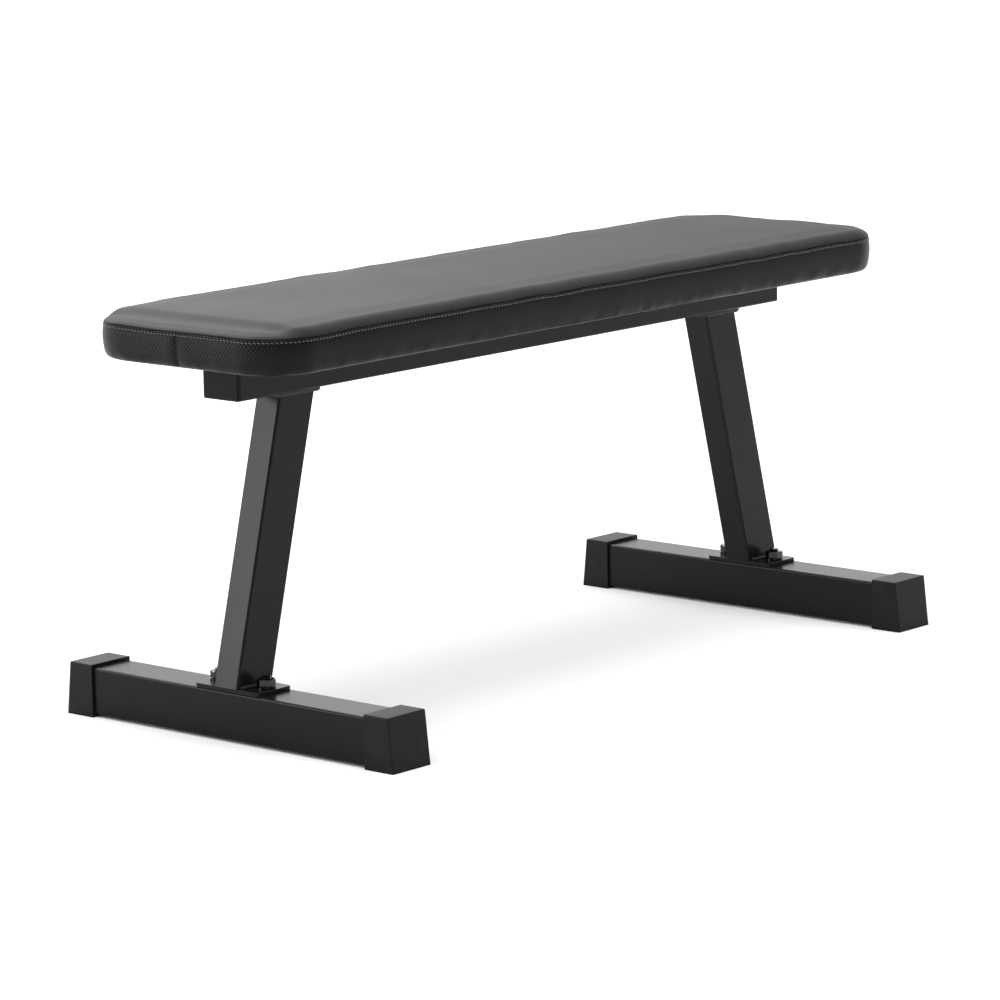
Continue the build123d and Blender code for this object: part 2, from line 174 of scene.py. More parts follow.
def makeWorld():
    # a pale room: bright behind the bench and overhead, dimmer on the camera's side
    world = bpy.data.worlds.new("studioWorld")
    bpy.context.scene.world = world
    world.use_nodes = True
    tree = world.node_tree
    tree.nodes.clear()
    place = addNode(tree, "ShaderNodeTexCoord").outputs["Generated"]
    behind = addNode(
        tree,
        "ShaderNodeVectorMath",
        {"operation": "DOT_PRODUCT"},
        {1: studio["behindDirection"]},
        {0: place},
    )
    behindShare = addNode(
        tree,
        "ShaderNodeMapRange",
        {"interpolation_type": "SMOOTHSTEP"},
        {"From Min": studio["behindShare"][0], "From Max": studio["behindShare"][1]},
        {"Value": behind.outputs["Value"]},
    )
    level = addNode(
        tree,
        "ShaderNodeMix",
        {"data_type": "RGBA"},
        {"A": hexToLinear(studio["worldFront"]), "B": hexToLinear(studio["worldBehind"])},
        {"Factor": behindShare.outputs[0]},
    )
    parts = addNode(tree, "ShaderNodeSeparateXYZ", links={"Vector": place})
    height = addNode(
        tree,
        "ShaderNodeMapRange",
        {"interpolation_type": "SMOOTHSTEP"},
        {"From Min": studio["overheadShare"][0], "From Max": studio["overheadShare"][1]},
        {"Value": parts.outputs["Z"]},
    )
    shade = addNode(
        tree,
        "ShaderNodeMix",
        {"data_type": "RGBA"},
        {"B": hexToLinear(studio["worldOverhead"])},
        {"Factor": height.outputs[0], "A": level.outputs["Result"]},
    )
    sky = addNode(
        tree,
        "ShaderNodeBackground",
        values={"Strength": studio["worldStrength"]},
        links={"Color": shade.outputs["Result"]},
    )
    addNode(tree, "ShaderNodeOutputWorld", links={"Surface": sky.outputs[0]})
    bpy.context.scene.view_settings.view_transform = "Standard"


def powderCoatMaterial():
    # Polyester powder coat on mild steel tube, sprayed and baked: satin black with a faint orange peel
    coat = {
        "colour": "#101011", "worn": "#161617", "roughness": 0.26, "specular": 0.12,
        "peel": 2.2, "depth": 0.05, "cloud": 60,
    }
    material, tree = newMaterial("blackPowderCoat")
    place = addNode(tree, "ShaderNodeTexCoord").outputs["Object"]
    peel = addNode(
        tree,
        "ShaderNodeTexNoise",
        values={"Scale": perMm(coat["peel"]), "Detail": 2.0},
        links={"Vector": place},
    )
    cloud = addNode(
        tree,
        "ShaderNodeTexNoise",
        values={"Scale": perMm(coat["cloud"]), "Detail": 3.0},
        links={"Vector": place},
    )
    colour = addNode(
        tree,
        "ShaderNodeMix",
        {"data_type": "RGBA"},
        {"A": hexToLinear(coat["colour"]), "B": hexToLinear(coat["worn"])},
        {"Factor": cloud.outputs["Fac"]},
    )
    gloss = addNode(
        tree,
        "ShaderNodeMapRange",
        values={"To Min": coat["roughness"] - 0.02, "To Max": coat["roughness"] + 0.03},
        links={"Value": cloud.outputs["Fac"]},
    )
    bump = addNode(
        tree,
        "ShaderNodeBump",
        values={"Strength": 0.25, "Distance": coat["depth"] * mm},
        links={"Height": peel.outputs["Fac"]},
    )
    shader = addNode(
        tree,
        "ShaderNodeBsdfPrincipled",
        values={"IOR": 1.5, "Specular IOR Level": coat["specular"]},
        links={
            "Base Color": colour.outputs["Result"],
            "Roughness": gloss.outputs[0],
            "Normal": bump.outputs[0],
        },
    )
    closeMaterial(tree, shader)
    return material


def weldMaterial():
    # The same powder coat over a steel weld bead: rougher, with spatter and ripples under it
    bead = {"colour": "#1c1c1d", "worn": "#333335", "roughness": 0.35, "spatter": 1.6, "depth": 0.4}
    material, tree = newMaterial("coatedWeldBead")
    place = addNode(tree, "ShaderNodeTexCoord").outputs["Object"]
    spatter = addNode(
        tree,
        "ShaderNodeTexNoise",
        values={"Scale": perMm(bead["spatter"]), "Detail": 4.0},
        links={"Vector": place},
    )
    colour = addNode(
        tree,
        "ShaderNodeMix",
        {"data_type": "RGBA"},
        {"A": hexToLinear(bead["colour"]), "B": hexToLinear(bead["worn"])},
        {"Factor": spatter.outputs["Fac"]},
    )
    bump = addNode(
        tree,
        "ShaderNodeBump",
        values={"Strength": 0.7, "Distance": bead["depth"] * mm},
        links={"Height": spatter.outputs["Fac"]},
    )
    shader = addNode(
        tree,
        "ShaderNodeBsdfPrincipled",
        values={"Roughness": bead["roughness"], "IOR": 1.5, "Specular IOR Level": 0.2},
        links={"Base Color": colour.outputs["Result"], "Normal": bump.outputs[0]},
    )
    closeMaterial(tree, shader)
    return material


def rubberMaterial():
    # Injection-moulded PVC rubber: dead matt, with a fine spark-eroded grain and paler scuffs
    rubber = {
        "colour": "#131313", "worn": "#1e1e1e", "roughness": 0.42, "specular": 0.12,
        "grain": 1.4, "depth": 0.08, "scuff": 18,
    }
    material, tree = newMaterial("mouldedRubber")
    place = addNode(tree, "ShaderNodeTexCoord").outputs["Object"]
    grain = addNode(
        tree,
        "ShaderNodeTexNoise",
        values={"Scale": perMm(rubber["grain"]), "Detail": 3.0},
        links={"Vector": place},
    )
    scuff = addNode(
        tree,
        "ShaderNodeTexNoise",
        values={"Scale": perMm(rubber["scuff"]), "Detail": 5.0, "Roughness": 0.7},
        links={"Vector": place},
    )
    scuffMask = addNode(
        tree,
        "ShaderNodeMapRange",
        values={"From Min": 0.5, "From Max": 0.8},
        links={"Value": scuff.outputs["Fac"]},
    )
    colour = addNode(
        tree,
        "ShaderNodeMix",
        {"data_type": "RGBA"},
        {"A": hexToLinear(rubber["colour"]), "B": hexToLinear(rubber["worn"])},
        {"Factor": scuffMask.outputs[0]},
    )
    bump = addNode(
        tree,
        "ShaderNodeBump",
        values={"Strength": 0.4, "Distance": rubber["depth"] * mm},
        links={"Height": grain.outputs["Fac"]},
    )
    shader = addNode(
        tree,
        "ShaderNodeBsdfPrincipled",
        values={"Roughness": rubber["roughness"], "IOR": 1.5, "Specular IOR Level": rubber["specular"]},
        links={"Base Color": colour.outputs["Result"], "Normal": bump.outputs[0]},
    )
    closeMaterial(tree, shader)
    return material


def plugMaterial():
    # Moulded polyethylene end plug: matt black, slightly waxy
    plastic = {
        "colour": "#0d0d0e", "pale": "#131314", "roughness": 0.45, "specular": 0.08,
        "grain": 1.2, "depth": 0.06, "cloud": 14,
    }
    material, tree = newMaterial("mouldedPolyethylene")
    place = addNode(tree, "ShaderNodeTexCoord").outputs["Object"]
    grain = addNode(
        tree,
        "ShaderNodeTexNoise",
        values={"Scale": perMm(plastic["grain"]), "Detail": 2.0},
        links={"Vector": place},
    )
    cloud = addNode(
        tree, "ShaderNodeTexNoise", values={"Scale": perMm(plastic["cloud"])}, links={"Vector": place}
    )
    colour = addNode(
        tree,
        "ShaderNodeMix",
        {"data_type": "RGBA"},
        {"A": hexToLinear(plastic["colour"]), "B": hexToLinear(plastic["pale"])},
        {"Factor": cloud.outputs["Fac"]},
    )
    bump = addNode(
        tree,
        "ShaderNodeBump",
        values={"Strength": 0.3, "Distance": plastic["depth"] * mm},
        links={"Height": grain.outputs["Fac"]},
    )
    shader = addNode(
        tree,
        "ShaderNodeBsdfPrincipled",
        values={"Roughness": plastic["roughness"], "IOR": 1.5, "Specular IOR Level": plastic["specular"]},
        links={"Base Color": colour.outputs["Result"], "Normal": bump.outputs[0]},
    )
    closeMaterial(tree, shader)
    return material


def fastenerMaterial():
    # Black electrocoated steel bolts and nuts: glossy, with the steel showing a little through scratches
    steel = {"colour": "#050505", "worn": "#3a3a3b", "roughness": 0.13, "scratch": 1.1, "depth": 0.1}
    material, tree = newMaterial("blackElectrocoatSteel")
    place = addNode(tree, "ShaderNodeTexCoord").outputs["Object"]
    scratch = addNode(
        tree,
        "ShaderNodeTexNoise",
        values={"Scale": perMm(steel["scratch"]), "Detail": 6.0, "Roughness": 0.75},
        links={"Vector": place},
    )
    mask = addNode(
        tree,
        "ShaderNodeMapRange",
        values={"From Min": 0.62, "From Max": 0.72},
        links={"Value": scratch.outputs["Fac"]},
    )
    colour = addNode(
        tree,
        "ShaderNodeMix",
        {"data_type": "RGBA"},
        {"A": hexToLinear(steel["colour"]), "B": hexToLinear(steel["worn"])},
        {"Factor": mask.outputs[0]},
    )
    bump = addNode(
        tree,
        "ShaderNodeBump",
        values={"Strength": 0.4, "Distance": steel["depth"] * mm},
        links={"Height": scratch.outputs["Fac"]},
    )
    shader = addNode(
        tree,
        "ShaderNodeBsdfPrincipled",
        values={"Roughness": steel["roughness"], "IOR": 1.5, "Specular IOR Level": 0.4},
        links={"Base Color": colour.outputs["Result"], "Normal": bump.outputs[0]},
    )
    closeMaterial(tree, shader)
    return material


def zincMaterial():
    # Bright zinc plate on steel wire and tee nuts: pale grey metal with a blotchy lustre
    plating = {"colour": "#a9acb0", "pale": "#c9ccd0", "cloud": 3, "roughness": (0.25, 0.45)}
    material, tree = newMaterial("zincPlate")
    place = addNode(tree, "ShaderNodeTexCoord").outputs["Object"]
    cloud = addNode(
        tree,
        "ShaderNodeTexNoise",
        values={"Scale": perMm(plating["cloud"]), "Detail": 3.0},
        links={"Vector": place},
    )
    colour = addNode(
        tree,
        "ShaderNodeMix",
        {"data_type": "RGBA"},
        {"A": hexToLinear(plating["colour"]), "B": hexToLinear(plating["pale"])},
        {"Factor": cloud.outputs["Fac"]},
    )
    gloss = addNode(
        tree,
        "ShaderNodeMapRange",
        values={"To Min": plating["roughness"][0], "To Max": plating["roughness"][1]},
        links={"Value": cloud.outputs["Fac"]},
    )
    shader = addNode(
        tree,
        "ShaderNodeBsdfPrincipled",
        values={"Metallic": 1.0},
        links={"Base Color": colour.outputs["Result"], "Roughness": gloss.outputs[0]},
    )
    closeMaterial(tree, shader)
    return material


def plywoodMaterial():
    # Poplar plywood: pale straight grain along the board
    wood = {"colour": "#b08d5f", "dark": "#8a6a40", "grain": 2.5, "stretch": 0.06, "roughness": 0.7}
    material, tree = newMaterial("poplarPlywood")
    place = addNode(tree, "ShaderNodeTexCoord").outputs["Object"]
    stretch = addNode(
        tree, "ShaderNodeMapping", values={"Scale": (wood["stretch"], 1.0, 1.0)}, links={"Vector": place}
    )
    grain = addNode(
        tree,
        "ShaderNodeTexNoise",
        values={"Scale": perMm(wood["grain"]), "Detail": 5.0},
        links={"Vector": stretch.outputs[0]},
    )
    colour = addNode(
        tree,
        "ShaderNodeMix",
        {"data_type": "RGBA"},
        {"A": hexToLinear(wood["colour"]), "B": hexToLinear(wood["dark"])},
        {"Factor": grain.outputs["Fac"]},
    )
    shader = addNode(
        tree,
        "ShaderNodeBsdfPrincipled",
        values={"Roughness": wood["roughness"]},
        links={"Base Color": colour.outputs["Result"]},
    )
    closeMaterial(tree, shader)
    return material


def nonWovenMaterial():
    # Spun-bonded polypropylene cloth: matt black with a mat of fine fibres and a dimple pattern
    cloth = {
        "colour": "#161617", "pale": "#2e2e30", "roughness": 0.9,
        "fibre": 0.9, "dimple": 2.0, "depth": 0.2,
    }
    material, tree = newMaterial("spunBondedCloth")
    place = addNode(tree, "ShaderNodeTexCoord").outputs["Object"]
    # the real fibres are about 0.03 mm, too fine to show, so they are drawn at 0.9 mm
    fibres = addNode(
        tree,
        "ShaderNodeTexNoise",
        values={"Scale": perMm(cloth["fibre"]), "Detail": 6.0, "Distortion": 1.5},
        links={"Vector": place},
    )
    dimples = addNode(
        tree,
        "ShaderNodeTexVoronoi",
        values={"Scale": perMm(cloth["dimple"]), "Randomness": 0.15},
        links={"Vector": place},
    )
    colour = addNode(
        tree,
        "ShaderNodeMix",
        {"data_type": "RGBA"},
        {"A": hexToLinear(cloth["colour"]), "B": hexToLinear(cloth["pale"])},
        {"Factor": fibres.outputs["Fac"]},
    )
    relief = addNode(
        tree,
        "ShaderNodeMath",
        {"operation": "ADD"},
        links={0: fibres.outputs["Fac"], 1: dimples.outputs["Distance"]},
    )
    bump = addNode(
        tree,
        "ShaderNodeBump",
        values={"Strength": 0.5, "Distance": cloth["depth"] * mm},
        links={"Height": relief.outputs[0]},
    )
    shader = addNode(
        tree,
        "ShaderNodeBsdfPrincipled",
        values={"Roughness": cloth["roughness"], "Sheen Weight": 0.2},
        links={"Base Color": colour.outputs["Result"], "Normal": bump.outputs[0]},
    )
    closeMaterial(tree, shader)
    return material


def foamMaterial():
    # Open-cell polyurethane foam: pale straw colour, matt, with fine pores painted darker in their middles as
    # shade
    foam = {"colour": "#b9ad78", "pale": "#ddd4a6", "roughness": 0.95, "pore": 1.2, "depth": 0.3}
    material, tree = newMaterial("openCellFoam")
    place = addNode(tree, "ShaderNodeTexCoord").outputs["Object"]
    pores = addNode(
        tree, "ShaderNodeTexVoronoi", values={"Scale": perMm(foam["pore"])}, links={"Vector": place}
    )
    # painted shade: the colour is darkest in the middle of each pore, where the bump is lowest, and pale on the
    # cell walls
    colour = addNode(
        tree,
        "ShaderNodeMix",
        {"data_type": "RGBA"},
        {"A": hexToLinear(foam["colour"]), "B": hexToLinear(foam["pale"])},
        {"Factor": pores.outputs["Distance"]},
    )
    bump = addNode(
        tree,
        "ShaderNodeBump",
        values={"Strength": 0.5, "Distance": foam["depth"] * mm},
        links={"Height": pores.outputs["Distance"]},
    )
    shader = addNode(
        tree,
        "ShaderNodeBsdfPrincipled",
        values={"Roughness": foam["roughness"]},
        links={"Base Color": colour.outputs["Result"], "Normal": bump.outputs[0]},
    )
    closeMaterial(tree, shader)
    return material


def topVinylMaterial():
    # Calendered PVC upholstery vinyl: smooth, satin, with a very fine leather grain and soft handling marks
    vinyl = {
        "colour": "#1a1a19", "handled": "#212120", "roughness": 0.56, "specular": 0.15,
        "grain": 1.5, "depth": 0.12, "cloud": 110,
    }
    material, tree = newMaterial("smoothBlackVinyl")
    place = addNode(tree, "ShaderNodeTexCoord").outputs["Object"]
    # the real grain is about 0.6 mm, too fine to show, so it is drawn at 1.5 mm
    grain = addNode(
        tree,
        "ShaderNodeTexVoronoi",
        {"feature": "SMOOTH_F1"},
        {"Scale": perMm(vinyl["grain"]), "Smoothness": 0.6},
        {"Vector": place},
    )
    cloud = addNode(
        tree,
        "ShaderNodeTexNoise",
        values={"Scale": perMm(vinyl["cloud"]), "Detail": 4.0, "Roughness": 0.6},
        links={"Vector": place},
    )
    colour = addNode(
        tree,
        "ShaderNodeMix",
        {"data_type": "RGBA"},
        {"A": hexToLinear(vinyl["colour"]), "B": hexToLinear(vinyl["handled"])},
        {"Factor": cloud.outputs["Fac"]},
    )
    gloss = addNode(
        tree,
        "ShaderNodeMapRange",
        values={"To Min": vinyl["roughness"] - 0.05, "To Max": vinyl["roughness"] + 0.06},
        links={"Value": cloud.outputs["Fac"]},
    )
    bump = addNode(
        tree,
        "ShaderNodeBump",
        values={"Strength": 0.15, "Distance": vinyl["depth"] * mm},
        links={"Height": grain.outputs["Distance"]},
    )
    shader = addNode(
        tree,
        "ShaderNodeBsdfPrincipled",
        values={"IOR": 1.5, "Specular IOR Level": vinyl["specular"]},
        links={
            "Base Color": colour.outputs["Result"],
            "Roughness": gloss.outputs[0],
            "Normal": bump.outputs[0],
        },
    )
    closeMaterial(tree, shader)
    return material


def bandVinylMaterial():
    # PVC vinyl embossed with a woven-fibre diamond: satin black with rows of small raised lozenges, the hollows
    # between them painted darker as shade
    emboss = {
        # the first colour is painted shade for the emboss's hollows, and the second is the vinyl's own colour
        "shadedHollow": "#080808", "raised": "#1f1f1f", "roughness": 0.36, "specular": 0.11,
        "pitch": 3.6, "depth": 0.6, "slant": 38, "cloud": 45,
        # share of the emboss left where the vinyl is stretched, and from where to where along X it comes back
        "stretchedShare": 0.22, "stretchFrom": 474 * mm, "stretchTo": 496 * mm,
        # the same for the lower part of the band, by height
        "lowShare": 0.45, "lowFrom": 396 * mm, "lowTo": 415 * mm,
    }
    material, tree = newMaterial("wovenEmbossVinyl")
    cloth = addNode(tree, "ShaderNodeUVMap", {"uv_map": "bandCloth"}).outputs[0]
    rows = []
    for turn in (emboss["slant"], -emboss["slant"]):
        turned = addNode(
            tree, "ShaderNodeMapping", values={"Rotation": (0, 0, radians(turn))}, links={"Vector": cloth}
        )
        # a wave band repeats every pi / 10 units at scale 1, so this gives one row each pitch
        rows.append(
            addNode(
                tree,
                "ShaderNodeTexWave",
                {"wave_type": "BANDS", "bands_direction": "X", "wave_profile": "SIN"},
                {"Scale": perMm(emboss["pitch"]) * pi / 10, "Distortion": 0.0},
                {"Vector": turned.outputs[0]},
            )
        )
    crossing = addNode(
        tree,
        "ShaderNodeMath",
        {"operation": "MULTIPLY"},
        links={0: rows[0].outputs["Fac"], 1: rows[1].outputs["Fac"]},
    )
    place = addNode(tree, "ShaderNodeTexCoord").outputs["Object"]
    parts = addNode(tree, "ShaderNodeSeparateXYZ", links={"Vector": place})
    along = addNode(tree, "ShaderNodeMath", {"operation": "ABSOLUTE"}, links={0: parts.outputs["X"]})
    # the emboss is flatter where the vinyl is stretched: along the sides, round the corners and low down, and
    # there the colour goes to the darker tone painted as shade in the hollows, so these parts are darker
    # overall
    unstretched = addNode(
        tree,
        "ShaderNodeMapRange",
        {"interpolation_type": "SMOOTHSTEP"},
        {
            "From Min": emboss["stretchFrom"],
            "From Max": emboss["stretchTo"],
            "To Min": emboss["stretchedShare"],
        },
        {"Value": along.outputs[0]},
    )
    upper = addNode(
        tree,
        "ShaderNodeMapRange",
        {"interpolation_type": "SMOOTHSTEP"},
        {"From Min": emboss["lowFrom"], "From Max": emboss["lowTo"], "To Min": emboss["lowShare"]},
        {"Value": parts.outputs["Z"]},
    )
    share = addNode(
        tree,
        "ShaderNodeMath",
        {"operation": "MULTIPLY"},
        links={0: unstretched.outputs[0], 1: upper.outputs[0]},
    )
    lozenge = addNode(
        tree, "ShaderNodeMath", {"operation": "MULTIPLY"}, links={0: crossing.outputs[0], 1: share.outputs[0]}
    )
    cloud = addNode(
        tree,
        "ShaderNodeTexNoise",
        values={"Scale": perMm(emboss["cloud"]), "Detail": 4.0},
        links={"Vector": place},
    )
    # painted shade: the colour follows the emboss, dark in the hollows and lighter on the raised lozenges
    colour = addNode(
        tree,
        "ShaderNodeMix",
        {"data_type": "RGBA"},
        {"A": hexToLinear(emboss["shadedHollow"]), "B": hexToLinear(emboss["raised"])},
        {"Factor": lozenge.outputs[0]},
    )
    gloss = addNode(
        tree,
        "ShaderNodeMapRange",
        values={"To Min": emboss["roughness"] - 0.05, "To Max": emboss["roughness"] + 0.08},
        links={"Value": cloud.outputs["Fac"]},
    )
    bump = addNode(
        tree,
        "ShaderNodeBump",
        values={"Strength": 0.8, "Distance": emboss["depth"] * mm},
        links={"Height": lozenge.outputs[0]},
    )
    shader = addNode(
        tree,
        "ShaderNodeBsdfPrincipled",
        values={"IOR": 1.5, "Specular IOR Level": emboss["specular"]},
        links={
            "Base Color": colour.outputs["Result"],
            "Roughness": gloss.outputs[0],
            "Normal": bump.outputs[0],
        },
    )
    closeMaterial(tree, shader)
    return material


def threadMaterial():
    # Bonded polyester thread: dark grey, with a faint sheen from its twist
    thread = {"colour": "#2a2a2b", "pale": "#56565a", "roughness": 0.4, "ply": 0.6, "depth": 0.15}
    material, tree = newMaterial("bondedThread")
    place = addNode(tree, "ShaderNodeTexCoord").outputs["Object"]
    ply = addNode(
        tree,
        "ShaderNodeTexNoise",
        values={"Scale": perMm(thread["ply"]), "Detail": 2.0},
        links={"Vector": place},
    )
    colour = addNode(
        tree,
        "ShaderNodeMix",
        {"data_type": "RGBA"},
        {"A": hexToLinear(thread["colour"]), "B": hexToLinear(thread["pale"])},
        {"Factor": ply.outputs["Fac"]},
    )
    bump = addNode(
        tree,
        "ShaderNodeBump",
        values={"Strength": 0.6, "Distance": thread["depth"] * mm},
        links={"Height": ply.outputs["Fac"]},
    )
    shader = addNode(
        tree,
        "ShaderNodeBsdfPrincipled",
        values={"Roughness": thread["roughness"], "Sheen Weight": 0.3},
        links={"Base Color": colour.outputs["Result"], "Normal": bump.outputs[0]},
    )
    closeMaterial(tree, shader)
    return material


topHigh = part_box("seat_cover_top")[1]
seat = {
    "halfLength": topHigh[0],
    "halfWidth": topHigh[1],
    "cornerRadius": 57 * mm,
    "seamZ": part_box("seat_cover_band")[1][2],
    "topZ": topHigh[2],
    "vinylThickness": 1.2 * mm,
}
# straight parts of a quarter of the outline, and that quarter's length with its rounded corner
seat["straightX"] = seat["halfLength"] - seat["cornerRadius"]
seat["straightY"] = seat["halfWidth"] - seat["cornerRadius"]
seat["quarter"] = seat["straightX"] + seat["straightY"] + seat["cornerRadius"] * pi / 2


def insetFromEdge(x, y):
    # distance inwards from the seat's outline
    acrossX = abs(x) - seat["halfLength"] + seat["cornerRadius"]
    acrossY = abs(y) - seat["halfWidth"] + seat["cornerRadius"]
    outside = hypot(max(acrossX, 0), max(acrossY, 0)) + min(max(acrossX, acrossY), 0)
    return seat["cornerRadius"] - outside


def outwardFromEdge(x, y):
    # level direction square to the seat's outline at the nearest point of it
    acrossX = abs(x) - seat["halfLength"] + seat["cornerRadius"]
    acrossY = abs(y) - seat["halfWidth"] + seat["cornerRadius"]
    if acrossX > 0 and acrossY > 0:
        out = Vector((acrossX, acrossY)).normalized()
    elif acrossX > acrossY:
        out = Vector((1, 0))
    else:
        out = Vector((0, 1))
    return Vector((out.x if x > 0 else -out.x, out.y if y > 0 else -out.y, 0))


def alongEdge(x, y):
    # distance round the outline from the middle of the near end, negative on the right side
    straightX, straightY = seat["straightX"], seat["straightY"]
    if abs(y) <= straightY and abs(x) > straightX:
        run = abs(y)
    elif abs(x) <= straightX:
        run = straightY + seat["cornerRadius"] * pi / 2 + straightX - abs(x)
    else:
        run = straightY + seat["cornerRadius"] * atan2(abs(y) - straightY, abs(x) - straightX)
    return run if x < 0 else 2 * seat["quarter"] - run


def edgePlace(run):
    # the outline's point at a distance round it from the middle of the near end, and its outward direction
    straightX, straightY = seat["straightX"], seat["straightY"]
    radius = seat["cornerRadius"]
    quarter = seat["quarter"]
    left = run % (4 * quarter)
    part, rest = int(left // quarter), left % quarter
    if part % 2:
        rest = quarter - rest
    if rest < straightY:
        x, y, out = seat["halfLength"], rest, Vector((1, 0, 0))
    elif rest < straightY + radius * pi / 2:
        angle = (rest - straightY) / radius
        out = Vector((cos(angle), sin(angle), 0))
        x, y = straightX + radius * out.x, straightY + radius * out.y
    else:
        x, y, out = quarter - rest, seat["halfWidth"], Vector((0, 1, 0))
    signX = -1 if part in (0, 3) else 1
    signY = 1 if part in (0, 1) else -1
    return Vector((signX * x, signY * y, 0)), Vector((signX * out.x, signY * out.y, 0))


def roundedGrid(inset, cell):
    # a level grid inside the seat's outline moved inwards, its corner squares bent to quarter rounds
    halfLength = seat["halfLength"] - inset
    halfWidth = seat["halfWidth"] - inset
    radius = seat["cornerRadius"] - inset
    bm = bmesh.new()
    bmesh.ops.create_grid(
        bm, x_segments=ceil(2 * halfLength / cell), y_segments=ceil(2 * halfWidth / cell), size=1
    )
    bmesh.ops.scale(bm, vec=(halfLength, halfWidth, 1), verts=bm.verts)
    for v in bm.verts:
        a = max(abs(v.co.x) - halfLength + radius, 0) / radius
        b = max(abs(v.co.y) - halfWidth + radius, 0) / radius
        if a > 0 and b > 0:
            x = halfLength - radius + radius * a * sqrt(1 - b * b / 2)
            y = halfWidth - radius + radius * b * sqrt(1 - a * a / 2)
            v.co.x = x if v.co.x > 0 else -x
            v.co.y = y if v.co.y > 0 else -y
    return bm


def growRing(bm, edges, outward, z):
    # extrudes the loop of edges, and moves the new loop outwards and to a height
    made = bmesh.ops.extrude_edge_only(bm, edges=edges)["geom"]
    verts = [g for g in made if isinstance(g, bmesh.types.BMVert)]
    fresh = set(verts)
    for v in verts:
        v.co += outwardFromEdge(v.co.x, v.co.y) * outward
        v.co.z = z
    return [g for g in made if isinstance(g, bmesh.types.BMEdge) and set(g.verts) <= fresh]


def smoothStep(low, high, value):
    t = min(max((value - low) / (high - low), 0), 1)
    return t * t * (3 - 2 * t)


def nearestEdgePoint(x, y):
    return edgePlace(alongEdge(x, y) * (1 if y > 0 else -1))[0]


seamSway = {
    "height": 1.1 * mm,
    "span": 55 * mm,
    "quickSpan": 14 * mm,
    "quickShare": 0.25,
    "nearEndFall": 1.6 * mm,  # the seam lies lower round the near end
    "fallFrom": 120 * mm,
    "pullFrom": 40 * mm,  # the surface over the seam follows its shift, from none here
    "pullFull": 3 * mm,  # to all of it here
}


def seamShift(x, y):
    # the seam wanders up and down a little along its way round the seat
    point = nearestEdgePoint(x, y)
    slow = noise.noise(point / seamSway["span"])
    quick = noise.noise(point / seamSway["quickSpan"]) * seamSway["quickShare"]
    fall = 1 - smoothStep(seat["cornerRadius"], seamSway["fallFrom"], x + seat["halfLength"])
    return (slow + quick) * seamSway["height"] - seamSway["nearEndFall"] * fall


def seamPull(x, y):
    near = 1 - smoothStep(seamSway["pullFull"], seamSway["pullFrom"], insetFromEdge(x, y))
    return seamShift(x, y) * near


topPanel = {
    "cell": 5 * mm,
    "gridInset": 13 * mm,
    "edgeRise": 9.9 * mm,  # height over the seam where the rolled edge ends
    "shoulderTo": 46 * mm,
    "crown": 0.7 * mm,
    "sway": 0.7 * mm,
    "swaySpan": 180 * mm,
    # share of the height lost beside the near and far ends, where the foam is drawn down, and how far in
    "nearEndDrop": 0.5,
    "farEndDrop": 0.16,
    "endFrom": 27 * mm,
    "endTo": 46 * mm,
    # the edge stands up a little again between the seam and the drawn-down strip, its place along the seat
    # varying a little
    "hump": 0.7 * mm,
    "humpRise": (8 * mm, 14 * mm),
    "humpFall": (16 * mm, 32 * mm),
    "humpWander": 3 * mm,
    "humpSpan": 60 * mm,
    # height and width of the tucks, how far in they fade out, and the size of the patches with more of them
    "pucker": 0.2 * mm,
    "puckerSpan": 16 * mm,
    "puckerFade": (9 * mm, 26 * mm),
    "puckerPatch": 90 * mm,
    # inset and height over the seam of each ring of the rolled edge, outwards from the grid
    "edge": [
        (10.5, 9.3), (8.4, 8.5), (6.5, 7.5), (4.8, 6.35), (3.4, 5.1), (2.3, 3.8), (1.5, 2.6), (1.1, 1.5),
        (1.15, 0.8), (1.6, 0.35), (2.6, 0.2), (4.5, 0.2),
    ],
}


def endShare(x):
    # how much of its full height the seat keeps at this distance along it
    drop = topPanel["nearEndDrop"] if x < 0 else topPanel["farEndDrop"]
    return 1 - drop * (1 - smoothStep(topPanel["endFrom"], topPanel["endTo"], seat["halfLength"] - abs(x)))


def topHeight(x, y):
    # height of the seat's upper surface over the seam
    inset = insetFromEdge(x, y)
    rise = seat["topZ"] - seat["seamZ"] - topPanel["edgeRise"]
    shoulder = smoothStep(topPanel["gridInset"], topPanel["shoulderTo"], inset)
    crown = topPanel["crown"] * smoothStep(0, seat["halfWidth"], inset)
    place = Vector((x, y, 0))
    wander = topPanel["humpWander"] * noise.noise(place / topPanel["humpSpan"])
    fromEnd = seat["halfLength"] - abs(x) + wander
    humpShare = smoothStep(*topPanel["humpRise"], fromEnd) * (1 - smoothStep(*topPanel["humpFall"], fromEnd))
    hump = topPanel["hump"] * humpShare
    sway = noise.noise(place / topPanel["swaySpan"]) * topPanel["sway"] * shoulder
    return (topPanel["edgeRise"] + rise * shoulder + crown) * endShare(x) + hump + sway


def edgePucker(x, y, height):
    # small tucks across the rolled edge, where the stitches pull the vinyl
    point = nearestEdgePoint(x, y)
    share = smoothStep(0, 3 * mm, height) * (1 - smoothStep(*topPanel["puckerFade"], insetFromEdge(x, y)))
    patch = 0.5 + 0.5 * noise.noise(point / topPanel["puckerPatch"])
    return noise.noise(point / topPanel["puckerSpan"]) * topPanel["pucker"] * share * (0.5 + patch)


